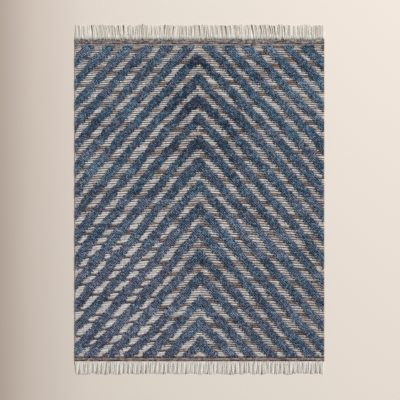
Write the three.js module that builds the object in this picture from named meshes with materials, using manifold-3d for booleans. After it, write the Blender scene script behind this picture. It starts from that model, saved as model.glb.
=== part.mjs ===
// A hand-knotted rug lying flat on the floor. A flat woven ground carries raised chevron
// stripes of wool pile. Each end has a ribbed woven band and a fringe of warp yarn in tassels.
//
// Millimetres. +Z is up. +Y runs along the rug, towards the end that the chevrons point to.
// The origin is the middle of the rug's whole length and width, on the floor.

import * as THREE from "three";
import { mergeVertices } from "three/addons/utils/BufferGeometryUtils.js";
import Module from "manifold-3d";

const wasm = await Module();
wasm.setup();

// Overall size
const rugWidth = 1524;
const rugLength = 2134;
const upperBandDepth = 32.5;
const lowerBandDepth = 27.9;
const upperFringeLength = 85;
const lowerFringeLength = 79.5;
const partingGap = 0.3;

const halfWidth = rugWidth / 2;
const halfLength = rugLength / 2;
const fieldUpperEdge = halfLength - upperFringeLength - upperBandDepth;
const fieldLowerEdge = -halfLength + lowerFringeLength + lowerBandDepth;

// Heights above the floor
const groundHeight = 5;
const shoulderHeight = 12;
const crownHeight = 15;
const crownLump = 1.2;

// The chevron repeat. A design row counts repeats down the rug from the first full point.
const firstPointY = 794.5;
const repeatWidth = 120;
const pointRounding = 9;
const pointLeanPerMm = -0.009;
const repeats = [
  { name: "above first point", height: 125 },
  { name: "first", height: 127 },
  { name: "second", height: 121 },
  { name: "third", height: 123 },
  { name: "fourth", height: 134 },
  { name: "fifth", height: 138 },
  { name: "sixth", height: 139 },
  { name: "seventh", height: 136 },
  { name: "eighth", height: 146 },
  { name: "ninth", height: 143 },
  { name: "tenth", height: 133 },
  { name: "eleventh", height: 143 },
  { name: "twelfth", height: 130 },
  { name: "last", height: 131 },
];
const repeatsAboveFirstPoint = 1;

// Past this line the stripes turn and run out to the upper end almost along the rug.
const upperTurnY = 918;
const upperTurnStretch = 3.3;

// Pile stripes
const gapShare = 0.35;
const shoulderShare = 0.07;
const edgeWander = 0.035;
const columnCount = 36;
const columnsPerWander = 2.5;
const columnOverrun = 24;
const floorOverrun = 5;
const firstStripe = -9;
const lastStripe = 14;

// End bands
const bandRibCount = 5;
const bandRibHeight = 5.6;
const bandGrooveHeight = 4.4;

// Fringe
const tasselCount = 56;
const fringeStripDepth = 6;
const fringeStripHeight = 5;
const lockSpread = 13;
const lockSections = [
  { along: 0.02, base: 9, top: 5.5, height: 4.6 },
  { along: 0.4, base: 11, top: 6.5, height: 5.4 },
  { along: 1, base: 7.5, top: 3.5, height: 2.6 },
];
const tasselsPerLean = 7;
const upperLean = { reach: 12, toLeft: 4 };
const lowerLean = { reach: 5, toLeft: 0 };
const tipSplay = 1.4;
const tipTrim = 6;
const fullLengthEvery = 7;

/** A repeatable number from 0 to 1 for whole numbers a and b. */
function scatter(a, b) {
  const wave = Math.sin(a * 127.1 + b * 311.7 + 74.7) * 43758.5453;
  return wave - Math.floor(wave);
}

/** Smooth noise from -1 to 1 along t, a different one for each seed. */
function wander(seed, t) {
  const cell = Math.floor(t);
  const share = t - cell;
  const ease = share * share * (3 - 2 * share);
  return 2 * THREE.MathUtils.lerp(scatter(seed, cell), scatter(seed, cell + 1), ease) - 1;
}

/** The Y at which a design row lies, from the table of repeat heights. */
function rowAt(design) {
  let y = firstPointY + repeatsAboveFirstPoint * repeats[0].height;
  let left = design + repeatsAboveFirstPoint;
  if (left < 0) {
    return y - left * repeats[0].height;
  }
  for (const repeat of repeats) {
    const part = Math.min(left, 1);
    y -= part * repeat.height;
    left -= part;
  }
  return y - left * repeats.at(-1).height;
}

/** How many repeats a stripe has come down at a distance s from the line of points. */
function fallAt(s) {
  return (Math.hypot(s, pointRounding) - pointRounding) / repeatWidth;
}

/** A closed mesh with merged vertices as a manifold solid. */
function solidFrom(geometry) {
  const bare = geometry.clone();
  bare.deleteAttribute("normal");
  bare.deleteAttribute("uv");
  const merged = mergeVertices(bare);
  return new wasm.Manifold(
    new wasm.Mesh({
      numProp: 3,
      vertProperties: new Float32Array(merged.attributes.position.array),
      triVerts: new Uint32Array(merged.index.array),
    }),
  );
}

/** A manifold solid as a three.js geometry. */
function geometryFrom(solid) {
  const mesh = solid.getMesh();
  const geometry = new THREE.BufferGeometry();
  geometry.setAttribute("position", new THREE.BufferAttribute(mesh.vertProperties, 3));
  geometry.setIndex(new THREE.BufferAttribute(mesh.triVerts, 1));
  geometry.computeVertexNormals();
  return geometry;
}

/**
 * A closed solid through rings of points. Each ring runs along its first half and comes back
 * along its second half, so that the caps join opposite points. Seen from the next ring, it
 * runs clockwise.
 */
function loftThrough(rings) {
  const sides = rings[0].length;
  const faces = [];
  for (let ring = 0; ring + 1 < rings.length; ring += 1) {
    for (let side = 0; side < sides; side += 1) {
      const a = ring * sides + side;
      const b = ring * sides + ((side + 1) % sides);
      faces.push(a, b, b + sides, a, b + sides, a + sides);
    }
  }
  const last = (rings.length - 1) * sides;
  for (let a = 0; a + 1 < sides / 2; a += 1) {
    const b = a + 1;
    const c = sides - 2 - a;
    const d = sides - 1 - a;
    faces.push(a, c, b, a, d, c);
    faces.push(last + a, last + b, last + c, last + a, last + c, last + d);
  }
  const geometry = new THREE.BufferGeometry();
  geometry.setAttribute("position", new THREE.Float32BufferAttribute(rings.flat(2), 3));
  geometry.setIndex(faces);
  return geometry;
}

/** A box between two corners. */
function boxBetween(low, high) {
  const size = new THREE.Vector3().subVectors(high, low);
  const geometry = new THREE.BoxGeometry(size.x, size.y, size.z);
  geometry.translate((low.x + high.x) / 2, (low.y + high.y) / 2, (low.z + high.z) / 2);
  return geometry;
}

/** One column's heights down the rug: [y, z] for each foot, shoulder and crown of each stripe. */
function columnProfile(s, column) {
  const along = column / columnsPerWander;
  const points = [];
  const place = (design, height) => {
    const y = rowAt(design + fallAt(s));
    const past = Math.max(0, y - upperTurnY);
    points.push([y + past * (upperTurnStretch - 1), height]);
  };
  for (let stripe = firstStripe; stripe <= lastStripe; stripe += 1) {
    const start = stripe + gapShare / 2 + edgeWander * wander(stripe, along);
    const end = stripe + 1 - gapShare / 2 + edgeWander * wander(stripe + 0.5, along);
    const crown = crownHeight - crownLump * scatter(stripe, column);
    place(start, groundHeight);
    place(start + shoulderShare, shoulderHeight);
    place((start + end) / 2, crown);
    place(end - shoulderShare, shoulderHeight);
    place(end, groundHeight);
  }
  return points;
}

/** The ground and its raised stripes, longer and wider than the rug, to be trimmed square. */
function makeStripedSheet() {
  const reach = halfWidth + columnOverrun;
  const rings = [];
  for (let column = 0; column <= columnCount; column += 1) {
    const s = -reach + (2 * reach * column) / columnCount;
    const profile = columnProfile(s, column);
    const upper = profile.map(([y, z]) => [s + pointLeanPerMm * y, y, z]);
    const lower = upper.map(([x, y]) => [x, y, -floorOverrun]);
    rings.push([...upper, ...lower.reverse()]);
  }
  return loftThrough(rings);
}

/** The knotted field: the striped sheet, trimmed to the rug's square outline. */
function makeField() {
  const outline = boxBetween(
    new THREE.Vector3(-halfWidth, fieldLowerEdge, 0),
    new THREE.Vector3(halfWidth, fieldUpperEdge, crownHeight + 10),
  );
  return geometryFrom(solidFrom(makeStripedSheet()).intersect(solidFrom(outline)));
}

/** A woven end band: a ribbed section in Y and Z, run across the rug's width. */
function makeBand(depth) {
  const ribDepth = (depth - partingGap) / bandRibCount;
  const section = new THREE.Shape();
  section.moveTo(0, 0);
  section.lineTo(ribDepth * bandRibCount, 0);
  for (let rib = bandRibCount; rib > 0; rib -= 1) {
    section.lineTo(ribDepth * rib, bandGrooveHeight);
    section.lineTo(ribDepth * (rib - 0.3), bandRibHeight);
    section.lineTo(ribDepth * (rib - 0.7), bandRibHeight);
  }
  section.lineTo(0, bandGrooveHeight);
  return new THREE.ExtrudeGeometry(section, { depth: rugWidth, bevelEnabled: false });
}

/** One lock of a tassel, flat on the floor. It starts inside the strip and ends at its tip. */
function makeLock(rootX, rootY, direction, length, bend) {
  const rings = lockSections.map(({ along, base, top, height }) => {
    const x = rootX + bend * along * along;
    const y = rootY + direction * length * along;
    const section = [
      [x - base / 2, y, 0],
      [x + base / 2, y, 0],
      [x + top / 2, y, height],
      [x - top / 2, y, height],
    ];
    return direction > 0 ? section.reverse() : section;
  });
  return loftThrough(rings);
}

/** A fringe: a narrow strip along the cloth's edge, and two locks for each tassel, fused to it. */
function makeFringe(rootY, direction, length, tipLean, seed) {
  const stripEnd = rootY + direction * fringeStripDepth;
  const strip = boxBetween(
    new THREE.Vector3(-halfWidth, Math.min(rootY, stripEnd), 0),
    new THREE.Vector3(halfWidth, Math.max(rootY, stripEnd), fringeStripHeight),
  );
  const pitch = rugWidth / tasselCount;
  const locks = [];
  for (let tassel = 0; tassel < tasselCount; tassel += 1) {
    const middle = -halfWidth + pitch * (tassel + 0.5);
    const cornerEase = Math.min(1, (halfWidth - Math.abs(middle)) / 120);
    const swing = tipLean.reach * wander(seed, tassel / tasselsPerLean);
    const lean = cornerEase * (swing - tipLean.toLeft);
    for (const side of [-1, 1]) {
      const index = 2 * tassel + (side + 1) / 2;
      const bend = lean + tipSplay * cornerEase * (2 * scatter(seed, index) - 1);
      const trim = index % fullLengthEvery === 3 ? 0 : tipTrim * scatter(seed + 1, index);
      const lockX = middle + (side * lockSpread) / 2;
      locks.push(solidFrom(makeLock(lockX, rootY, direction, length - trim, bend)));
    }
  }
  return geometryFrom(wasm.Manifold.union([solidFrom(strip), ...locks]));
}

const wool = { metalness: 0, roughness: 0.95 };
const pileMaterial = new THREE.MeshStandardMaterial({ ...wool, color: 0x49586a });
const bandMaterial = new THREE.MeshStandardMaterial({ ...wool, color: 0x7a6a66 });
const fringeMaterial = new THREE.MeshStandardMaterial({ ...wool, color: 0xd6ccbf });

/** A named mesh. */
function namedMesh(name, geometry, material) {
  const mesh = new THREE.Mesh(geometry, material);
  mesh.name = name;
  return mesh;
}

const rug = new THREE.Group();

rug.add(namedMesh("knotted_field", makeField(), pileMaterial));

const upperBand = namedMesh("end_band_upper", makeBand(upperBandDepth), bandMaterial);
upperBand.rotation.set(Math.PI / 2, Math.PI / 2, 0);
upperBand.position.set(-halfWidth, fieldUpperEdge + partingGap, 0);
rug.add(upperBand);

const lowerBand = namedMesh("end_band_lower", makeBand(lowerBandDepth), bandMaterial);
lowerBand.rotation.set(Math.PI / 2, Math.PI / 2, 0);
lowerBand.position.set(-halfWidth, fieldLowerEdge - lowerBandDepth, 0);
rug.add(lowerBand);

const upperRoot = fieldUpperEdge + upperBandDepth + partingGap;
const upperLength = halfLength - upperRoot;
const upperFringe = makeFringe(upperRoot, 1, upperLength, upperLean, 11);
rug.add(namedMesh("fringe_upper", upperFringe, fringeMaterial));

const lowerRoot = fieldLowerEdge - lowerBandDepth - partingGap;
const lowerLength = halfLength + lowerRoot;
const lowerFringe = makeFringe(lowerRoot, -1, lowerLength, lowerLean, 23);
rug.add(namedMesh("fringe_lower", lowerFringe, fringeMaterial));

export default rug;
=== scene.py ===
# A hand-knotted rug with raised chevron stripes of wool pile on a flat woven ground, lying on a
# pale floor and seen from overhead. Metres, +Z up, +Y towards the end that the chevrons point to.
import math
from collections import namedtuple

import bpy
import numpy as np
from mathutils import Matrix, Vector


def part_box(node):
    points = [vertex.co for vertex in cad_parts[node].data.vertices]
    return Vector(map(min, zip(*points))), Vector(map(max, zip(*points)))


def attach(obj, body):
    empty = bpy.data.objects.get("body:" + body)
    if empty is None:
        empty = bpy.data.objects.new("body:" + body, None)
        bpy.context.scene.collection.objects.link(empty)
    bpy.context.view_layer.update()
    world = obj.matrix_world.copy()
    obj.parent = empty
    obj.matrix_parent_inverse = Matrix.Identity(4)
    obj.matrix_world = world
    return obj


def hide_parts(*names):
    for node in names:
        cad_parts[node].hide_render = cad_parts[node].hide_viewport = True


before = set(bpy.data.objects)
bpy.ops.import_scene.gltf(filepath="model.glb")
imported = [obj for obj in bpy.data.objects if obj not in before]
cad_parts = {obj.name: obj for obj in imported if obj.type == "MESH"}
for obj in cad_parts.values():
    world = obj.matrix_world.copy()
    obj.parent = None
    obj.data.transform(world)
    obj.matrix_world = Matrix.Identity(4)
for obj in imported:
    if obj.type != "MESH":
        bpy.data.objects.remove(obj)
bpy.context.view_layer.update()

MM = 0.001

# The knotted field's outline, from the frame
field_low, field_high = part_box("knotted_field")
HALF_WIDTH = field_high.x
FIELD_TOP = field_high.y
FIELD_BOTTOM = field_low.y

# The chevron. A design row counts repeats down the rug from the first full point.
FIRST_POINT_Y = 794.5 * MM
REPEAT_WIDTH = 120 * MM
POINT_ROUNDING = 9 * MM
POINT_LEAN = 0.009
REPEATS = np.array([125, 127, 121, 123, 134, 138, 139, 136, 146, 143, 133, 143, 130, 131]) * MM
REPEATS_ABOVE_FIRST_POINT = 1

# Past this line the stripes turn and run out to the upper end almost along the rug
UPPER_TURN_Y = 918 * MM
UPPER_TURN_STRETCH = 3.3

# The flat gaps between the pile stripes, in repeats
GAP_SHARE = 0.41
EDGE_WANDER = 0.045
WANDER_LENGTH = 109 * MM
EDGE_FRAY = 0.06
FRAY_LENGTH = 31 * MM
EDGE_JITTER = 0.036
LOWER_EDGE_TRIM = 0.012
PINCH = 0.1
TEETH = 0.12
TOOTH_SHARE = 0.36

# Woven rows, their runs of yarn colour, and the gaps that show them
ROW_COUNT = 129
FIRST_GAP = -10
GAP_COUNT = 26
BARE_ROWS_AT_TOP = 1
PLAIN_ROWS_AT_FOOT = 2
BARE_ROW_SHADE = 0.22
SELVAGE_ROOTS_AND_SHADE = 0.2
SELVAGE_TONE = 0.75
CREAM_RUN = (4, 9)
TAUPE_RUN = (1, 3)
BLOCK_RUN = (2, 6)
NECK_RUN = (1, 2)
BLOCKS_FROM = 0.4

# Tones of the ground's yarns, from 0 dark to 1 pale
TAUPE_TONE = 0.46
CREAM_TONE = 0.77
BLOCK_CREAM_LIFT = 0.1
ROW_LOT_SPREAD = 0.22
PLAIN_ROW_SHARE = 0.12
PLAIN_FROM_TONE = 0.7
PLAIN_THIN_TONE = 0.6
NECK_BELOW_TONE = 0.65
NECK_TONE = 0.34
BARE_ROW_TONE = 0.54
BARE_ROW_SPREAD = 0.14
TOP_THIN_TONE = 0.5
FIRST_KNOTS_SHADE = 0.2
FOOT_THIN_TONE = 0.62
FOOT_THICK_TONE = 0.78

# Warmth of the ground's yarns, from 0 greige to 1 pink taupe
WARMTH_IN_MIDDLE = 0.14
WARMTH_TO_RIGHT = 0.12
WARMTH_SPREAD = 0.4
TAUPE_WARMTH = 0.5

# Ground weave, from the floor up. A row is a thick yarn and then a thin one.
THICK_CREST_AT = 0.3
THIN_YARN_AT = 0.62
VALLEY_HEIGHT = 3.2 * MM
CREST_HEIGHT = 5.9 * MM
THIN_YARN_HEIGHT = 4.3 * MM
ROW_SLANT = 9 * MM
END_EASE = 30 * MM
YARN_TURN = 11 * MM

# Pile, from the floor up
KNOT_COLUMNS = 203
ENDS_PER_KNOT = 2
END_SIDES = 5
PILE_ROOT = 2.8 * MM
PILE_SHOULDER = 11.2 * MM
PILE_CROWN = 14.0 * MM
CROWN_SHARE = 0.2
END_TOP_RADIUS = 5.4 * MM
END_ROOT_RADIUS = 2.9 * MM
END_DOME = 2.2 * MM
EDGE_SPLAY = 1.6 * MM
LEFT_MARGIN = 8.2 * MM
RIGHT_MARGIN = 6.2 * MM
LOWER_MARGIN = 4.5 * MM
TOP_ROW_OVERHANG = 8 * MM
DYE_SPOT = (14 * MM, 11 * MM)
WOOL_TONE = 0.428
SPOT_SPREAD = 0.36
END_TONE_SPREAD = 0.075
PILE_STRIPS = 4

# Broad patches of lighter or darker dye: middle x and y, reach along x and y, and strength
DYE_PATCHES = (
    (0.0, 0.45, 0.32, 0.55, -0.08),
    (-0.05, 0.7, 0.16, 0.22, -0.07),
    (-0.4, 0.5, 0.13, 0.3, -0.05),
    (0.55, 0.65, 0.2, 0.25, 0.06),
    (0.75, 0.95, 0.2, 0.12, -0.1),
    (-0.6, 0.85, 0.4, 0.25, 0.05),
    (-0.55, -0.8, 0.5, 0.3, 0.05),
    (0.05, -0.85, 0.3, 0.2, 0.03),
    (0.5, -0.55, 0.16, 0.16, 0.07),
    (0.65, -0.9, 0.3, 0.1, -0.07),
)

# Lighter or darker stretches of the ground's thick yarn, as in DYE_PATCHES
GROUND_PATCHES = (
    (-0.6, 0.35, 0.35, 0.45, 0.09),
    (-0.55, 0.9, 0.35, 0.15, -0.08),
    (0.4, 0.85, 0.12, 0.15, -0.1),
    (0.72, -0.6, 0.15, 0.5, -0.1),
    (0.0, -0.7, 0.1, 0.25, 0.08),
)

# End bands, from the field outwards: each rib's tone
BAND_RIBS = 5
BAND_STEPS_PER_RIB = 5
BAND_GROOVE = 4.2 * MM
BAND_RIB = 1.8 * MM
BAND_BEAD = 17 * MM
BAND_COLUMNS = 440
UPPER_BAND_TONES = (0.2, 0.42, 0.42, 0.46, 0.38)
LOWER_BAND_TONES = (0.42, 0.0, 0.8, 0.28, 0.28)

# Fringe
TASSELS = 56
YARNS_PER_TASSEL = 8
YARN_SIDES = 5
YARN_RINGS = 7
YARN_RADIUS = 2.4 * MM
CUT_END_AT = 0.97
LOW_YARN_RADIUS = 2.1 * MM
TASSEL_HALF_WIDTH = 10.4 * MM
TIP_OVERRUN = 5 * MM
TASSEL_HALF_HEIGHT = 2.3 * MM
TASSEL_TWIST = 0.8
TASSELS_PER_LEAN = 7
UPPER_LEAN = (12 * MM, 4 * MM)
LOWER_LEAN = (5 * MM, 0 * MM)
GATHERED_BY = 0.35
CORNER_EASE = 120 * MM
CUT_UNEVENNESS = 7 * MM
LEAST_HEIGHT = 0.2 * MM
UPPER_ROOT_OVERLAP = 11 * MM
LOWER_ROOT_OVERLAP = 1 * MM

# A fringe's look: its tone at root, middle and tip, where the upper fringe's darker tips are
# painted shade and the lower fringe's brighter tips are painted light; the low yarn's tone in the
# gap, how dark its painted shade may get, how rarely and how late along the yarn; and how much a
# tassel narrows to its tip
FringeLook = namedtuple("FringeLook", "root middle tip gap dark_gap rarity rise taper")
UPPER_LOOK = FringeLook(0.74, 0.66, 0.55, 0.6, 0.9, 4, 1.5, 0.14)
LOWER_LOOK = FringeLook(0.47, 0.74, 0.98, 0.62, 1.0, 1.5, 3, 0.36)

# Picture
VIEW_WIDTH = 2.443
AIM = (3.1 * MM, -3.4 * MM)
LENS = 85
SENSOR = 36
FLOOR_HALF = 30.0
FLOOR_DROP = 0.5 * MM
FLOOR_SHADE_FROM = -3.1
FLOOR_SHADE_TO = 0.9
KEY_PLACE = (9.9, 10.6, 14.1)
KEY_SIZE = 6.6
KEY_POWER = 4000
SURROUND_STRENGTH = 0.28


# The chevron's formula

def scatter(a, b):
    """A repeatable number from 0 to 1: what follows the point in 43758.5453 times a sine."""
    wave = np.sin(a * 127.1 + b * 311.7 + 74.7) * 43758.5453
    return wave - np.floor(wave)


def wander(seed, t):
    """Smooth noise from -1 to 1 along t: scatter at whole numbers, eased between them."""
    cell = np.floor(t)
    share = t - cell
    ease = share * share * (3 - 2 * share)
    return 2 * (scatter(seed, cell) * (1 - ease) + scatter(seed, cell + 1) * ease) - 1


def repeat_ends():
    """The y of each repeat's end and its design row, with one more repeat past each end."""
    heights = np.concatenate([REPEATS[:1], REPEATS, REPEATS[-1:]])
    above = REPEATS_ABOVE_FIRST_POINT + 1
    top = FIRST_POINT_Y + above * REPEATS[0]
    ends = top - np.concatenate([[0], np.cumsum(heights)])
    return ends, np.arange(len(ends)) - above


def design_at(y):
    """The design row at y, on straight lines between the repeats' ends."""
    ends, rows = repeat_ends()
    return np.interp(-y, -ends, rows)


def y_at(design):
    """The y of a design row: design_at read the other way."""
    ends, rows = repeat_ends()
    return np.interp(design, rows, ends)


def across(x, y):
    """How far x, y lies to the right of the line of points, which leans a little."""
    return x + POINT_LEAN * y


def phase_at(x, y):
    """The design row that shows at x, y: the row at y, less the arms' fall.

    The fall is hypot(s, rounding) - rounding over the repeat's width, for s from the line of
    points. Whole numbers are the middles of the flat gaps, and the pile lies between them. What
    is past the turn at the upper end is stretched along y.
    """
    s = across(x, y)
    fall = (np.hypot(s, POINT_ROUNDING) - POINT_ROUNDING) / REPEAT_WIDTH
    past = np.maximum(0, y - UPPER_TURN_Y)
    y = y - past * (1 - 1 / UPPER_TURN_STRETCH)
    return design_at(y) - fall


def row_edges():
    """The y of the woven rows' edges, evenly spaced in the design, so uneven on the rug."""
    return y_at(np.linspace(design_at(FIELD_TOP), design_at(FIELD_BOTTOM), ROW_COUNT + 1))


def block_share(x, y):
    """From 0 to 1, how far the ground is in plain cream blocks: most in the lower left corner."""
    lower = np.clip((-y / FIELD_TOP + 0.05) / 0.45, 0, 1)
    left = np.clip((-x / HALF_WIDTH - 0.05) / 0.45, 0, 1)
    return lower * left


def taupe_rows():
    """Which woven rows are taupe: for each gap, each arm of it and each row.

    Down each gap, runs of cream rows are parted by short runs of taupe ones. In the lower left
    corner the runs are shorter: blocks of cream and narrow taupe necks.
    """
    rng = np.random.default_rng(5)
    edges = row_edges()
    taupe = np.zeros((GAP_COUNT, 2, ROW_COUNT), bool)
    for gap in range(GAP_COUNT):
        for arm, turn in enumerate((-1, 1)):
            row = -int(rng.integers(0, 6))
            while row < ROW_COUNT:
                y = edges[max(row, 0)]
                s = turn * (design_at(y) - gap - FIRST_GAP) * REPEAT_WIDTH
                in_blocks = block_share(s, y) > BLOCKS_FROM
                cream = int(rng.integers(*(BLOCK_RUN if in_blocks else CREAM_RUN)))
                plain = int(rng.integers(*(NECK_RUN if in_blocks else TAUPE_RUN)))
                taupe[gap, arm, max(0, row + cream) : max(0, row + cream + plain)] = True
                row += cream + plain
    return taupe


TAUPE_ROWS = taupe_rows()


def taupe_at(gap, s, row):
    """Whether a gap, on the arm that s is on, is taupe in a row."""
    number = np.clip(gap.astype(int) - FIRST_GAP, 0, GAP_COUNT - 1)
    return TAUPE_ROWS[number, (s > 0).astype(int), row]


def pile_depth(x, y, row):
    """How far x, y in a row lies inside its pile stripe, in repeats, and the nearer edge's sign.

    The stripe after a whole design row starts and ends half a gap from whole numbers. Each edge
    is moved by long and short smooth noise along it and by a little at each row, and closes in on
    the taupe necks between cream blocks, and the lower edge is trimmed a little more. The sign is
    -1 where the upper edge is the nearer.
    """
    phase = phase_at(x, y)
    stripe = np.floor(phase)
    s = across(x, y)
    along = s + HALF_WIDTH

    def half_gap(seed, gap):
        moved = EDGE_WANDER * wander(seed, along / WANDER_LENGTH)
        moved = moved + EDGE_FRAY * wander(seed + 40, along / FRAY_LENGTH)
        moved = moved + EDGE_JITTER * (2 * scatter(seed + 80, row) - 1)
        necks = PINCH * block_share(x, y) * taupe_at(gap, s, row)
        return GAP_SHARE / 2 + moved - necks

    after_upper = phase - stripe - half_gap(stripe, stripe)
    before_lower = stripe + 1 - phase - half_gap(stripe + 0.5, stripe + 1) - LOWER_EDGE_TRIM
    return np.minimum(after_upper, before_lower), np.where(after_upper < before_lower, -1, 1)


def patches_at(x, y, patches):
    """The sum of soft patches at x, y: each is its strength times exp(-d^2).

    Here d is the distance to the patch's middle, in its own reach along x and y.
    """
    total = np.zeros(np.shape(x))
    for middle_x, middle_y, reach_x, reach_y, strength in patches:
        apart = np.hypot((x - middle_x) / reach_x, (y - middle_y) / reach_y)
        total = total + strength * np.exp(-(apart**2))
    return total


# Meshes

def add_piece(name, points, faces, material, node):
    """A mesh piece from points (N, 3) and lists of equal faces, smooth where a list says so."""
    mesh = bpy.data.meshes.new(name)
    corners = np.concatenate([np.ravel(f) for f, _ in faces]).astype(np.int32)
    totals = np.concatenate([np.full(len(f), np.shape(f)[1]) for f, _ in faces]).astype(np.int32)
    smooth = np.concatenate([np.full(len(f), s) for f, s in faces])
    mesh.vertices.add(len(points))
    mesh.vertices.foreach_set("co", np.asarray(points, np.float32).ravel())
    mesh.loops.add(len(corners))
    mesh.loops.foreach_set("vertex_index", corners)
    mesh.polygons.add(len(totals))
    starts = np.concatenate([[0], np.cumsum(totals)[:-1]]).astype(np.int32)
    mesh.polygons.foreach_set("loop_start", starts)
    mesh.polygons.foreach_set("use_smooth", smooth)
    mesh.update(calc_edges=True)
    mesh.validate()
    mesh.materials.append(material)
    piece = bpy.data.objects.new(name, mesh)
    bpy.context.scene.collection.objects.link(piece)
    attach(piece, "root")
    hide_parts(node)
    return piece


def add_numbers(piece, name, domain, values):
    """A named number for each point or face of a piece."""
    piece.data.attributes.new(name, "FLOAT", domain).data.foreach_set(
        "value", np.asarray(values, np.float32).ravel()
    )


def add_map(piece, name, places):
    """A named UV map from a place for each point of the piece."""
    corners = np.zeros(len(piece.data.loops), np.int32)
    piece.data.loops.foreach_get("vertex_index", corners)
    layer = piece.data.uv_layers.new(name=name)
    layer.uv.foreach_set("vector", np.asarray(places, np.float32)[corners].ravel())


def closed_cloth(x, y, z):
    """Points and faces of cloth with the upper surface x, y, z over a flat underside at 0.

    Rows of the arrays run down the rug and columns run to +X. The sides drop to the floor, the
    underside is one strip of faces, and each end is one flat face.
    """
    rows, columns = x.shape
    upper = np.stack([x, y, z], -1)
    left = upper[:, 0] * (1, 1, 0)
    right = upper[:, -1] * (1, 1, 0)
    grid = np.arange(rows * columns).reshape(rows, columns)
    low_left = rows * columns + np.arange(rows)
    low_right = low_left + rows

    def quads(a, b, c, d):
        return np.stack([a, b, c, d], -1).reshape(-1, 4)

    top = quads(grid[:-1, :-1], grid[1:, :-1], grid[1:, 1:], grid[:-1, 1:])
    under = quads(low_left[:-1], low_right[:-1], low_right[1:], low_left[1:])
    left_side = quads(grid[:-1, 0], low_left[:-1], low_left[1:], grid[1:, 0])
    right_side = quads(grid[:-1, -1], grid[1:, -1], low_right[1:], low_right[:-1])
    first_end = [*grid[0], low_right[0], low_left[0]]
    last_end = [*grid[-1, ::-1], low_left[-1], low_right[-1]]
    faces = [
        (top, True),
        (np.concatenate([under, left_side, right_side]), False),
        (np.array([first_end, last_end]), False),
    ]
    return np.concatenate([upper.reshape(-1, 3), left, right]), faces


# Woven ground

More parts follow.
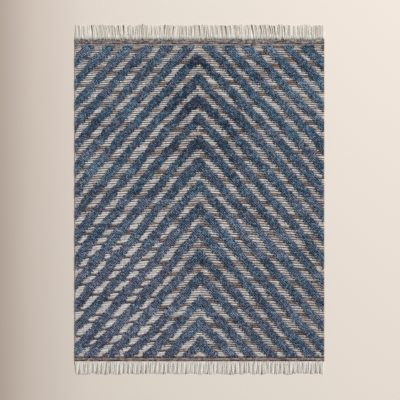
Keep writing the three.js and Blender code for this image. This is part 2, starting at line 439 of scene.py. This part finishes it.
def make_ground(material):
    """The flat weave: each row is a thick ridge and a thin lower one, across the whole width.

    Every row's points move up by slant / 2 pi times sin(2 pi phase), so that a row climbs a
    little across each gap, and the rows lie level at the field's ends. Each face has the tone of
    its thick and thin yarn and their warmth, by gap, arm and row, and each point how far it turns
    navy: partly the pile's root yarn under the knots, partly painted shade under the pile and at
    its edges, and painted shade alone in the bare top row.
    """
    rng = np.random.default_rng(1)
    edges = row_edges()
    pitch = edges[:-1] - edges[1:]
    shares = np.array([0, THICK_CREST_AT, THIN_YARN_AT])
    heights = np.array([VALLEY_HEIGHT, CREST_HEIGHT, THIN_YARN_HEIGHT])
    ys = np.append((edges[:-1, None] - pitch[:, None] * shares).ravel(), edges[-1])
    zs = np.append(np.tile(heights, ROW_COUNT), THIN_YARN_HEIGHT)
    row_places = np.append((np.arange(ROW_COUNT)[:, None] + shares).ravel(), ROW_COUNT)
    xs = np.linspace(-HALF_WIDTH, HALF_WIDTH, KNOT_COLUMNS + 1)
    x, y = np.meshgrid(xs, ys)
    s = across(x, y)
    phase = phase_at(x, y)
    ease = np.clip(np.minimum(FIELD_TOP - y, y - FIELD_BOTTOM) / END_EASE, 0, 1)
    slanted = y + ease * ROW_SLANT / (2 * math.pi) * np.sin(2 * math.pi * phase)
    z = zs[:, None] + rng.normal(0, 0.25 * MM, x.shape)
    points, faces = closed_cloth(x, slanted, z)
    ground = add_piece("woven_ground", points, faces, material, "knotted_field")

    sides = len(points) - x.size
    place = np.broadcast_to(row_places[:, None], x.shape)
    weave = np.stack([x / YARN_TURN, place], -1).reshape(-1, 2)
    add_map(ground, "weave", np.concatenate([weave, np.full((sides, 2), 0.5)]))

    row = np.minimum(place.astype(int), ROW_COUNT - 1)
    depth, _ = pile_depth(x, y, row)
    crest = (np.arange(len(ys)) % len(shares) == 1)[:, None]
    # Navy of the pile's root yarn under the knots, deepened by painted shade under the pile and at its
    # edges; the bare top row gets painted shade alone, and the side edges less of both.
    roots_and_shade = np.clip(0.5 + (depth - 0.06 * crest) / 0.05, 0, 1)
    roots_and_shade = np.where(row < BARE_ROWS_AT_TOP, BARE_ROW_SHADE, roots_and_shade)
    roots_and_shade[:, [0, 1, -1]] *= SELVAGE_ROOTS_AND_SHADE
    add_numbers(ground, "roots_and_shade", "POINT", np.append(roots_and_shade, np.zeros(sides)))

    face_rows = len(ys) - 1
    face = (slice(0, face_rows), slice(0, KNOT_COLUMNS))
    face_row = row[face]
    gap = np.round(phase[face])
    lot = scatter(gap * 3 + (s[face] > 0), face_row)
    blocks = block_share(x[face], y[face])
    taupe = taupe_at(gap, s[face], face_row)
    thick = np.where(taupe, TAUPE_TONE, CREAM_TONE + BLOCK_CREAM_LIFT * blocks)
    thick = thick + ROW_LOT_SPREAD * (lot - 0.5)
    thick = thick + patches_at(x[face], y[face], GROUND_PATCHES)
    plain = (scatter(gap * 5 + 2, face_row) < PLAIN_ROW_SHARE + blocks) & (thick > PLAIN_FROM_TONE)
    # Outside plain rows the thin yarn is near black: its own dark brown deepened by painted shade in the
    # groove between rows.
    thin = np.where(plain, PLAIN_THIN_TONE + 0.06 * blocks, 0.16 * lot - 0.05)
    thick = np.where((thick < NECK_BELOW_TONE) & (blocks > BLOCKS_FROM), NECK_TONE, thick)
    bare = BARE_ROW_TONE + BARE_ROW_SPREAD * wander(7, x[face] / (30 * MM))
    thick = np.where(face_row < BARE_ROWS_AT_TOP, bare, thick)
    thin = np.where(face_row <= BARE_ROWS_AT_TOP, TOP_THIN_TONE, thin)
    thick = thick - FIRST_KNOTS_SHADE * (face_row == BARE_ROWS_AT_TOP)
    last = face_row >= ROW_COUNT - PLAIN_ROWS_AT_FOOT
    thin = np.where(last, FOOT_THIN_TONE, thin)
    thick = np.where(last, np.maximum(thick, FOOT_THICK_TONE), thick)
    selvage = np.arange(KNOT_COLUMNS) == 0
    thick = np.where(selvage, SELVAGE_TONE, thick)
    thin = np.where(selvage, SELVAGE_TONE, thin)
    warmth_lot = scatter(gap * 7 + (s[face] > 0), face_row)
    warmth = WARMTH_IN_MIDDLE + WARMTH_TO_RIGHT * x[face] / HALF_WIDTH
    warmth = warmth + WARMTH_SPREAD * (warmth_lot - 0.5)
    warmth = np.where(selvage, 1, warmth + TAUPE_WARMTH * taupe)
    rest = len(ground.data.polygons) - thick.size
    add_numbers(ground, "thick_yarn", "FACE", np.append(thick, np.full(rest, 0.6)))
    add_numbers(ground, "thin_yarn", "FACE", np.append(thin, np.full(rest, 0.4)))
    add_numbers(ground, "warmth", "FACE", np.append(np.clip(warmth, 0, 1), np.full(rest, 0.5)))
    return ground


# Pile

def knot_ends():
    """The yarn ends of every knot: where each stands and leans to, its height, tone and hue."""
    rng = np.random.default_rng(2)
    edges = row_edges()
    knot = 2 * HALF_WIDTH / KNOT_COLUMNS
    knot_x = -HALF_WIDTH + knot * (np.arange(KNOT_COLUMNS) + 0.5)
    row_y = (edges[:-1] + edges[1:]) / 2
    x, y = (a.ravel() for a in np.meshgrid(knot_x, row_y))
    pitch = np.repeat(edges[:-1] - edges[1:], KNOT_COLUMNS)
    column = np.tile(np.arange(KNOT_COLUMNS), ROW_COUNT)
    row = np.repeat(np.arange(ROW_COUNT), KNOT_COLUMNS)
    depth, side = pile_depth(x, y, row)
    kept = (depth > 0) & (row >= BARE_ROWS_AT_TOP)
    x, y, pitch, column, row, depth, side = (a[kept] for a in (x, y, pitch, column, row, depth, side))

    end = np.arange(ENDS_PER_KNOT)[:, None]
    line = row * ENDS_PER_KNOT + end
    zigzag = np.where((column + line) % 2 == 0, -0.24, 0.24) * knot
    shape = (ENDS_PER_KNOT, len(x))
    near_edge = np.clip(1 - depth / TEETH, 0, 1)
    span = 1 - TOOTH_SHARE * near_edge * (1 - 0.6 * block_share(x, y))
    base_x = x + zigzag + rng.normal(0, 0.5 * MM, shape)
    base_y = y + pitch * (span * (0.5 - (end + 0.5) / ENDS_PER_KNOT) - (1 - span) / 2)
    base_y = base_y + rng.normal(0, 0.5 * MM, shape)

    slope = np.sign(across(x, y))
    away = np.stack([-slope / REPEAT_WIDTH, -1 / np.mean(REPEATS) + 0 * slope]) * side
    away = away / np.linalg.norm(away, axis=0)
    top_x = base_x + away[0] * EDGE_SPLAY * near_edge + rng.normal(0, 1.2 * MM, shape)
    top_y = base_y + away[1] * EDGE_SPLAY * near_edge + rng.normal(0, 1.2 * MM, shape)
    top_y = top_y + (line == ENDS_PER_KNOT * BARE_ROWS_AT_TOP) * rng.uniform(0, TOP_ROW_OVERHANG, shape)
    left_limit = LEFT_MARGIN - HALF_WIDTH
    right_limit = HALF_WIDTH - RIGHT_MARGIN
    base_x = np.clip(base_x, left_limit, right_limit)
    top_x = np.clip(top_x, left_limit, right_limit)
    base_y = np.maximum(base_y, FIELD_BOTTOM + LOWER_MARGIN)
    top_y = np.maximum(top_y, FIELD_BOTTOM + LOWER_MARGIN)
    crown = np.clip(depth / CROWN_SHARE, 0, 1)
    rise = PILE_SHOULDER + (PILE_CROWN - PILE_SHOULDER) * crown * (2 - crown)
    top_z = rise + rng.normal(0, 0.8 * MM, shape)
    spot_line = np.floor(top_y / DYE_SPOT[1])
    spot = scatter(np.floor(top_x / DYE_SPOT[0] + spot_line * 0.37), spot_line + 0.5)
    tone = WOOL_TONE + SPOT_SPREAD * (spot - 0.5) + END_TONE_SPREAD * rng.normal(0, 1, shape)
    tone = tone + dye_at(x, y)
    hue = rng.normal(0, 0.5, shape) + 0.8 * wander(61 + np.floor(y / (31 * MM)), x / (43 * MM))
    hue = hue - 0.4 * y / FIELD_TOP + 0.6 * block_share(x, y)
    hue = hue + 0.6 * wander(71 + np.floor(y / (120 * MM)), x / (150 * MM))
    return [np.ravel(a) for a in (base_x, base_y, top_x, top_y, top_z, tone, hue)]


def dye_at(x, y):
    """How much lighter the wool's dye is at x, y.

    It is the sum of soft bands along the rows, soft stretches within belts of rows, and the broad
    patches.
    """
    total = wander(31, y / (70 * MM)) * 0.05 + wander(32, y / (23 * MM)) * 0.045
    total = total + wander(33 + np.floor(y / (90 * MM)), x / (210 * MM) + 9) * 0.085
    total = total + wander(35 + np.floor(y / (36 * MM)), x / (60 * MM)) * 0.045
    return total + patches_at(x, y, DYE_PATCHES)


def make_pile(material):
    """The knots' yarn ends, in strips from left to right."""
    ends = knot_ends()
    share = (ends[0] + HALF_WIDTH) / (2 * HALF_WIDTH)
    strip = np.clip(share * PILE_STRIPS, 0, PILE_STRIPS - 1).astype(int)
    return [
        make_pile_strip(f"pile_strip_{number + 1}", material, [a[strip == number] for a in ends], number)
        for number in range(PILE_STRIPS)
    ]


def make_pile_strip(name, material, ends, seed):
    """One strip of yarn ends, each a flared post with END_SIDES sides and a low dome.

    An end has a small ring at its root, a wider uneven ring near its top, turned a little, and
    one point above them.
    """
    base_x, base_y, top_x, top_y, top_z, tone, hue = ends
    rng = np.random.default_rng(100 + seed)
    count = len(tone)
    around = np.arange(END_SIDES)
    turn = rng.uniform(0, math.pi / 2, (count, 1)) + around * 2 * math.pi / END_SIDES
    root = END_ROOT_RADIUS * rng.uniform(0.85, 1.1, (count, 1))
    flare = END_TOP_RADIUS * rng.uniform(0.7, 1.15, (count, END_SIDES))
    top_turn = turn + rng.uniform(-0.5, 0.5, (count, 1))

    def ring(x, y, z, radius, angle):
        height = np.broadcast_to(np.reshape(z, (-1, 1)), angle.shape)
        ring_x = x[:, None] + radius * np.cos(angle)
        ring_y = y[:, None] + radius * np.sin(angle)
        return np.stack([ring_x, ring_y, height], -1)

    low = ring(base_x, base_y, PILE_ROOT, root, turn)
    high = ring(top_x, top_y, top_z - END_DOME, flare, top_turn)
    tip = np.stack([top_x, top_y, top_z], -1)[:, None]
    points = np.concatenate([low, high, tip], 1).reshape(-1, 3)

    following = np.roll(around, -1)
    sides = np.stack([around, following, following + END_SIDES, around + END_SIDES], -1)
    top = np.full(END_SIDES, 2 * END_SIDES)
    dome = np.stack([around + END_SIDES, following + END_SIDES, top], -1)
    foot = around[None, ::-1]
    per_end = 2 * END_SIDES + 1
    first = (np.arange(count) * per_end)[:, None, None]
    faces = [
        ((first + sides).reshape(-1, 4), True),
        ((first + dome).reshape(-1, 3), True),
        ((first + foot).reshape(-1, END_SIDES), False),
    ]
    piece = add_piece(name, points, faces, material, "knotted_field")
    add_numbers(piece, "tone", "POINT", np.repeat(tone, per_end))
    add_numbers(piece, "hue", "POINT", np.repeat(hue, per_end))
    add_end_map(piece, count, sides, dome)
    return piece


def add_end_map(piece, count, sides, dome):
    """The bake map of a strip: each yarn end has a square cell, laid out in rows.

    The dome is in the middle of the cell, the sides are round it, and the foot is beside them.
    """
    per_row = math.ceil(math.sqrt(count))
    number = np.arange(count)
    cell = np.stack([number % per_row, number // per_row], -1)[:, None]
    angle = np.arange(END_SIDES) * 2 * math.pi / END_SIDES
    circle = np.stack([np.cos(angle), np.sin(angle)], -1)
    middle = np.array([0.46, 0.5])
    spots = np.concatenate([middle + circle * 0.44, middle + circle * 0.24, [middle]])
    foot = np.array([0.95, 0.08]) + circle[::-1] * (0.03, 0.05)
    parts = [spots[sides].reshape(-1, 2), spots[dome].reshape(-1, 2), foot]
    places = np.concatenate([((cell + part) / per_row).reshape(-1, 2) for part in parts])
    layer = piece.data.uv_layers.new(name="OFBake")
    layer.uv.foreach_set("vector", places.astype(np.float32).ravel())


# End bands

def make_band(name, node, material, tones, outward):
    """A ribbed woven band: domed ribs across the width, twined along x like plied yarn."""
    low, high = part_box(node)
    inner, outer = (low.y, high.y) if outward > 0 else (high.y, low.y)
    share = np.linspace(0, 1, BAND_RIBS * BAND_STEPS_PER_RIB + 1)
    if outward > 0:
        share = share[::-1]
    xs = np.linspace(low.x, high.x, BAND_COLUMNS + 1)
    x, y = np.meshgrid(xs, inner + (outer - inner) * share)
    place = np.broadcast_to(share[:, None] * BAND_RIBS, x.shape)
    rib = np.minimum(np.floor(place), BAND_RIBS - 1)
    inside = place - rib
    dome = np.sqrt(np.clip(1 - (2 * inside - 1) ** 2, 0, 1))
    turns = x / BAND_BEAD + inside / 2 + rib / 2 + wander(rib + 30, x / (80 * MM))
    bead = np.cos(2 * math.pi * turns)
    z = BAND_GROOVE + BAND_RIB * dome * (0.8 + 0.2 * bead)
    points, faces = closed_cloth(x, y, z)
    band = add_piece(name, points, faces, material, node)
    loose = 0.5 + 0.5 * wander(rib + 90, x / (45 * MM))
    # Each rib keeps its own tone, lighter and darker along its twine; towards its edges it darkens as
    # painted shade in the grooves between ribs.
    tone = np.array(tones)[rib.astype(int)] + (0.1 + 0.22 * loose) * bead * dome - 0.1 * (1 - dome)
    tone = tone + 0.1 * wander(rib + 50, x / (60 * MM)) + 0.34 * wander(rib + 70, x / (15 * MM))
    sides = len(points) - tone.size
    add_numbers(band, "tone", "POINT", np.append(tone, np.full(sides, 0.3)))
    return band


# Fringe

def make_fringe(name, node, material, outward, tip_lean, root_overlap, look, seed):
    """A fringe of tassels: in each, yarns that turn round one another on a flat oval.

    A yarn leaves the band at its own even place across the tassel, and by GATHERED_BY of its
    length it follows x = middle + lean u^2 + a cos(angle + twist u) and z = yarn radius +
    b (1 + sin(angle + twist u)), for u from 0 at the root to 1 at the tip. The oval and the yarn
    shrink towards the tip, the lean swings smoothly from tassel to tassel and fades at the corners,
    and each yarn wanders a little. A yarn lies low in the gap on each tassel's left, and its tone
    darkens towards the tip as painted shade between the tassels, deeply in only a few gaps.
    """
    rng = np.random.default_rng(200 + seed)
    low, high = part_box(node)
    root, tip = (low.y, high.y) if outward > 0 else (high.y, low.y)
    spacing = 2 * HALF_WIDTH / TASSELS
    yarns = YARNS_PER_TASSEL + 1
    tassel = np.repeat(np.arange(TASSELS), yarns)[1:]
    yarn = np.tile(np.roll(np.arange(yarns), 1), TASSELS)[1:]
    in_gap = yarn == YARNS_PER_TASSEL
    count = len(tassel)
    middle = -HALF_WIDTH + spacing * (tassel + np.where(in_gap, 0, 0.5))
    ease = np.minimum(1, (HALF_WIDTH - np.abs(middle)) / CORNER_EASE)
    reach, to_left = tip_lean
    lean = ease * (reach * wander(seed, (tassel - 0.5 * in_gap) / TASSELS_PER_LEAN) - to_left)
    even_angle = 2 * math.pi * (np.arange(YARNS_PER_TASSEL) + 0.3) / YARNS_PER_TASSEL
    order = np.append(np.argsort(np.argsort(np.cos(even_angle))), 0)
    place = np.where(in_gap, 0, spacing * ((order[yarn] + 0.5) / YARNS_PER_TASSEL - 0.5))
    angle = np.append(even_angle, 0)[yarn] + rng.normal(0, 0.3, count)
    spread = rng.uniform(0.6, 1, count) * ~in_gap
    twist = TASSEL_TWIST * rng.uniform(-1, 1, TASSELS)[tassel]
    start = root - outward * rng.uniform(0, root_overlap, count)
    short = rng.uniform(0, CUT_UNEVENNESS, count) + rng.uniform(0, CUT_UNEVENNESS, TASSELS)[tassel]
    length = abs(tip - start) + TIP_OVERRUN - short
    radius = np.where(in_gap, LOW_YARN_RADIUS, YARN_RADIUS * rng.uniform(0.85, 1.15, count))
    wave = rng.normal(0, 0.8 * MM, (count, YARN_RINGS)).cumsum(1) * 0.5

    u = np.append(np.linspace(0, CUT_END_AT, YARN_RINGS - 1), 1)
    gathered = np.clip(u / GATHERED_BY, 0, 1)
    turned = angle[:, None] + twist[:, None] * u
    swing = TASSEL_HALF_WIDTH * (1 - look.taper * u) * spread[:, None] * np.cos(turned)
    shift = place[:, None] * (1 - gathered) + swing * gathered
    x = middle[:, None] + lean[:, None] * u**2 + shift + wave * ease[:, None]
    y = start[:, None] + outward * length[:, None] * u
    thickness = radius[:, None] * (1 - 1.7 * look.taper * u**4 * ~in_gap[:, None])
    thickness[:, -1] *= 0.6
    z = thickness + TASSEL_HALF_HEIGHT * (1 - 0.85 * u**2) * (1 + np.sin(turned)) * ~in_gap[:, None]
    around = outward * np.arange(YARN_SIDES) * 2 * math.pi / YARN_SIDES
    ring_x = x[..., None] + thickness[..., None] * np.cos(around)
    ring_y = np.broadcast_to(y[..., None], ring_x.shape)
    ring_z = np.maximum(z[..., None] + thickness[..., None] * np.sin(around), LEAST_HEIGHT)
    points = np.stack([ring_x, ring_y, ring_z], -1).reshape(-1, 3)

    rings = np.arange(YARN_RINGS * YARN_SIDES).reshape(YARN_RINGS, YARN_SIDES)
    following = np.roll(rings, -1, 1)
    sides = np.stack([rings[:-1], rings[1:], following[1:], following[:-1]], -1).reshape(-1, 4)
    ends = np.stack([rings[0], rings[-1][::-1]])
    first = (np.arange(count) * rings.size)[:, None, None]
    faces = [
        ((first + sides).reshape(-1, 4), True),
        ((first + ends).reshape(-1, YARN_SIDES), False),
    ]
    fringe = add_piece(name, points, faces, material, node)
    yarn_tone = rng.normal(0, 0.05, count) + rng.normal(0, 0.05, TASSELS)[tassel]
    lit = 0.06 * np.sin(turned) - 0.06 * np.cos(turned)
    # The low yarn in each gap darkens towards its tip as painted shade between the tassels, deeply in
    # only a few gaps.
    gap_shade = look.dark_gap * rng.uniform(0, 1, count) ** look.rarity
    shaded_gap_tone = look.gap - np.outer(gap_shade, u**look.rise)
    # Tone along each yarn from root through middle to tip: the upper fringe's darker tips are painted
    # shade and the lower fringe's brighter tips are painted light.
    along = np.interp(u, [0, 0.15, 1], [look.root, look.middle, look.tip])
    tone = np.where(in_gap[:, None], shaded_gap_tone, yarn_tone[:, None] + lit + along)
    add_numbers(fringe, "tone", "POINT", np.broadcast_to(tone[..., None], ring_x.shape))
    return fringe


# Materials

class Finish:
    """A material with one Principled shader, and short ways to add and link its nodes."""

    def __init__(self, name, roughness, sheen):
        self.material = bpy.data.materials.new(name)
        self.material.use_nodes = True
        self.tree = self.material.node_tree
        self.shader = self.tree.nodes["Principled BSDF"]
        self.shader.inputs["Roughness"].default_value = roughness
        self.shader.inputs["Sheen Weight"].default_value = sheen
        self.shader.inputs["Specular IOR Level"].default_value = 0.2
        self.place = self.tree.nodes.new("ShaderNodeTexCoord").outputs["Object"]

    def add(self, kind, inputs, **settings):
        """A node with its settings, and each input set to a number or linked to a socket."""
        node = self.tree.nodes.new(kind)
        for key, value in settings.items():
            setattr(node, key, value)
        for key, value in inputs.items():
            if isinstance(value, bpy.types.NodeSocket):
                self.tree.links.new(value, node.inputs[key])
            else:
                node.inputs[key].default_value = value
        return node

    def maths(self, kind, *values):
        """One step of arithmetic on numbers or sockets."""
        return self.add("ShaderNodeMath", dict(enumerate(values)), operation=kind).outputs[0]

    def number(self, name):
        """A piece's own named number."""
        return self.add("ShaderNodeAttribute", {}, attribute_name=name).outputs["Fac"]

    def noise(self, cells, detail=2.0):
        """Noise with so many cells a metre along X, Y and Z, less a half: about -0.3 to 0.3."""
        place = self.add("ShaderNodeMapping", {"Vector": self.place, "Scale": cells})
        inputs = {"Vector": place.outputs[0], "Scale": 1.0, "Detail": detail}
        found = self.add("ShaderNodeTexNoise", inputs).outputs["Fac"]
        return self.maths("SUBTRACT", found, 0.5)

    def between(self, value, low, high, kind="SMOOTHSTEP"):
        """From 0 where the value is low to 1 where it is high."""
        inputs = {"Value": value, "From Min": low, "From Max": high}
        return self.add("ShaderNodeMapRange", inputs, interpolation_type=kind).outputs[0]

    def mix(self, share, a, b):
        """The number a where the share is 0 and b where it is 1."""
        return self.add("ShaderNodeMix", {0: share, 2: a, 3: b}, data_type="FLOAT").outputs[0]

    def blend(self, share, a, b):
        """The colour a where the share is 0 and b where it is 1."""
        return self.add("ShaderNodeMix", {0: share, 6: a, 7: b}, data_type="RGBA").outputs[2]

    def ramp(self, value, stops):
        """Colours at places from 0 to 1, in sRGB steps of 0 to 255."""
        node = self.add("ShaderNodeValToRGB", {"Fac": value})
        while len(node.color_ramp.elements) < len(stops):
            node.color_ramp.elements.new(0.5)
        for element, (place, colour) in zip(node.color_ramp.elements, stops, strict=True):
            element.position = place
            element.color = (*linear(colour), 1)
        return node.outputs["Color"]

    def colour(self, socket):
        """The shader's own colour, from a socket."""
        self.tree.links.new(socket, self.shader.inputs["Base Color"])

    def bump(self, height, depth):
        """Relief that is depth high where the height is 1."""
        node = self.add("ShaderNodeBump", {"Height": height, "Distance": depth, "Strength": 1.0})
        self.tree.links.new(node.outputs[0], self.shader.inputs["Normal"])


def linear(colour):
    """sRGB steps of 0 to 255 as the linear numbers that a shader takes."""
    share = np.array(colour) / 255
    return np.where(share <= 0.04045, share / 12.92, ((share + 0.055) / 1.055) ** 2.4).tolist()


def pile_finish():
    """Cut wool: each end's own tone, from teal blue to violet blue, with fine fibres."""
    finish = Finish("wool_pile", 0.95, 0.12)
    fibres = finish.noise((900, 900, 500))
    tone = finish.maths("MULTIPLY_ADD", fibres, 0.3, finish.number("tone"))
    teal = [
        (0.0, (25, 40, 58)),
        (0.25, (52, 81, 107)),
        (0.5, (92, 124, 149)),
        (0.75, (138, 166, 186)),
        (1.0, (190, 210, 220)),
    ]
    violet = [
        (0.0, (35, 41, 56)),
        (0.25, (72, 81, 103)),
        (0.5, (110, 120, 144)),
        (0.75, (154, 161, 182)),
        (1.0, (199, 204, 216)),
    ]
    hue = finish.between(finish.number("hue"), -1.0, 1.0)
    finish.colour(finish.blend(hue, finish.ramp(tone, teal), finish.ramp(tone, violet)))
    finish.bump(fibres, 0.8 * MM)
    return finish.material


def ground_finish():
    """Flat weave, from its own map: along a yarn in turns of its twist, and down in rows.

    A row is a thick yarn, then a thin dark one, whose dark is partly its own brown and partly
    painted shade in the groove between rows. Both are twisted, slubbed and streaked, and the
    ground turns navy under the pile: partly the pile's root yarn, partly painted shade.
    """
    finish = Finish("woven_ground", 0.95, 0.05)
    weave = finish.add("ShaderNodeUVMap", {}, uv_map="weave").outputs[0]
    split = finish.add("ShaderNodeSeparateXYZ", {"Vector": weave})
    turns = split.outputs["X"]
    place = finish.maths("FRACT", split.outputs["Y"])
    # The thin yarn's share of each row, where its own brown and painted groove shade show.
    thin = finish.maths(
        "MULTIPLY", finish.between(place, 0.6, 0.72), finish.between(place, 1.0, 0.95)
    )
    tone = finish.mix(thin, finish.number("thick_yarn"), finish.number("thin_yarn"))
    turned = finish.maths("MULTIPLY_ADD", place, 1.3, turns)
    twist = finish.maths("SINE", finish.maths("MULTIPLY", turned, 2 * math.pi))
    streaks = finish.noise((130, 240, 100), 3.0)
    slubs = finish.noise((45, 130, 10), 2.0)
    mottle = finish.maths("MULTIPLY_ADD", slubs, 0.6, finish.maths("MULTIPLY", streaks, 1.2))
    mottle = finish.maths("MULTIPLY_ADD", twist, 0.02, mottle)
    tone = finish.maths("ADD", tone, mottle)
    greige = [
        (0.0, (45, 41, 45)),
        (0.3, (97, 89, 88)),
        (0.5, (142, 135, 133)),
        (0.75, (185, 182, 180)),
        (1.0, (226, 225, 223)),
    ]
    pink_taupe = [
        (0.0, (48, 41, 42)),
        (0.3, (107, 87, 79)),
        (0.5, (154, 132, 121)),
        (0.75, (195, 181, 171)),
        (1.0, (232, 223, 214)),
    ]
    warmth = finish.number("warmth")
    yarns = finish.blend(warmth, finish.ramp(tone, greige), finish.ramp(tone, pink_taupe))
    # Dark navy: the pile's root yarn, darkened further as painted shade under the pile.
    root_navy_and_shade = (*linear((36, 44, 58)), 1)
    finish.colour(finish.blend(finish.number("roots_and_shade"), yarns, root_navy_and_shade))
    fibres = finish.noise((350, 900, 300), 2.0)
    finish.bump(finish.maths("MULTIPLY_ADD", twist, 0.25, fibres), 0.7 * MM)
    return finish.material


def band_finish(name, stops):
    """Ribbed weave, each rib its own tone, with fibres along it."""
    finish = Finish(name, 0.95, 0.05)
    fibres = finish.noise((300, 900, 500))
    tone = finish.maths("MULTIPLY_ADD", fibres, 0.3, finish.number("tone"))
    finish.colour(finish.ramp(tone, stops))
    finish.bump(fibres, 0.6 * MM)
    return finish.material


def fringe_finish():
    """Undyed yarn in warm cream, each strand its own tone, with fibres along it."""
    finish = Finish("fringe_yarn", 0.9, 0.05)
    fibres = finish.noise((1200, 120, 1200))
    tone = finish.maths("MULTIPLY_ADD", fibres, 0.3, finish.number("tone"))
    stops = [
        (0.0, (100, 84, 70)),
        (0.35, (192, 183, 169)),
        (0.65, (235, 230, 222)),
        (1.0, (250, 248, 244)),
    ]
    finish.colour(finish.ramp(tone, stops))
    finish.bump(fibres, 0.5 * MM)
    return finish.material


def floor_finish():
    """A plain pale warm floor with a band of soft shade along y, on the rug's left."""
    finish = Finish("pale_floor", 0.9, 0.0)
    x = finish.add("ShaderNodeSeparateXYZ", {"Vector": finish.place}).outputs["X"]
    shade = finish.between(x, FLOOR_SHADE_FROM, FLOOR_SHADE_TO, "LINEAR")
    stops = [
        (0.0, (229, 219, 210)),
        (0.3, (213, 201, 191)),
        (0.45, (174, 158, 145)),
        (0.522, (213, 201, 191)),
        (0.604, (229, 219, 210)),
        (0.725, (232, 224, 215)),
        (1.0, (235, 226, 218)),
    ]
    finish.colour(finish.ramp(shade, stops))
    return finish.material


# Stage

def make_floor():
    """The floor: one large square, half a millimetre under the rug."""
    half = FLOOR_HALF
    drop = -FLOOR_DROP
    mesh = bpy.data.meshes.new("floor")
    corners = [(-half, -half, drop), (half, -half, drop), (half, half, drop), (-half, half, drop)]
    mesh.from_pydata(corners, [], [(0, 1, 2, 3)])
    mesh.materials.append(floor_finish())
    floor = bpy.data.objects.new("floor", mesh)
    bpy.context.scene.collection.objects.link(floor)


def add_light(name, place, size, power, colour):
    """A square area light at place, turned to the middle of the rug."""
    light = bpy.data.lights.new(name, "AREA")
    light.size = size
    light.energy = power
    light.color = colour
    lamp = bpy.data.objects.new(name, light)
    lamp.location = place
    lamp.rotation_euler = (-Vector(place)).to_track_quat("-Z", "Y").to_euler()
    bpy.context.scene.collection.objects.link(lamp)


def light_the_stage():
    """A soft key from the upper right and an even pale surround."""
    add_light("key", KEY_PLACE, KEY_SIZE, KEY_POWER, (1.0, 0.985, 0.965))
    world = bpy.data.worlds.new("surround")
    world.use_nodes = True
    backdrop = world.node_tree.nodes["Background"]
    backdrop.inputs["Color"].default_value = (1.0, 0.99, 0.98, 1)
    backdrop.inputs["Strength"].default_value = SURROUND_STRENGTH
    bpy.context.scene.world = world
    bpy.context.scene.view_settings.view_transform = "Standard"


def add_camera():
    """Straight overhead, a little off the rug's middle, so that the picture is VIEW_WIDTH wide."""
    camera = bpy.data.cameras.new("camera")
    camera.lens = LENS
    camera.sensor_width = SENSOR
    holder = bpy.data.objects.new("camera", camera)
    holder.location = (*AIM, VIEW_WIDTH * LENS / SENSOR)
    bpy.context.scene.collection.objects.link(holder)
    bpy.context.scene.camera = holder


add_camera()
light_the_stage()
make_floor()

ground = make_ground(ground_finish())
pile = make_pile(pile_finish())

upper_greys = band_finish(
    "upper_end_band",
    [(0.0, (58, 52, 52)), (0.35, (112, 105, 105)), (0.6, (152, 143, 138)), (1.0, (200, 192, 184))],
)
lower_mauves = band_finish(
    "lower_end_band",
    [(0.0, (58, 46, 47)), (0.35, (108, 94, 94)), (0.6, (150, 136, 135)), (1.0, (194, 184, 178))],
)
bands = [
    make_band("end_band_upper_weave", "end_band_upper", upper_greys, UPPER_BAND_TONES, 1),
    make_band("end_band_lower_weave", "end_band_lower", lower_mauves, LOWER_BAND_TONES, -1),
]
undyed = fringe_finish()
fringes = [
    make_fringe(
        "fringe_upper_yarn", "fringe_upper", undyed, 1, UPPER_LEAN, UPPER_ROOT_OVERLAP, UPPER_LOOK, 11
    ),
    make_fringe(
        "fringe_lower_yarn", "fringe_lower", undyed, -1, LOWER_LEAN, LOWER_ROOT_OVERLAP, LOWER_LOOK, 23
    ),
]
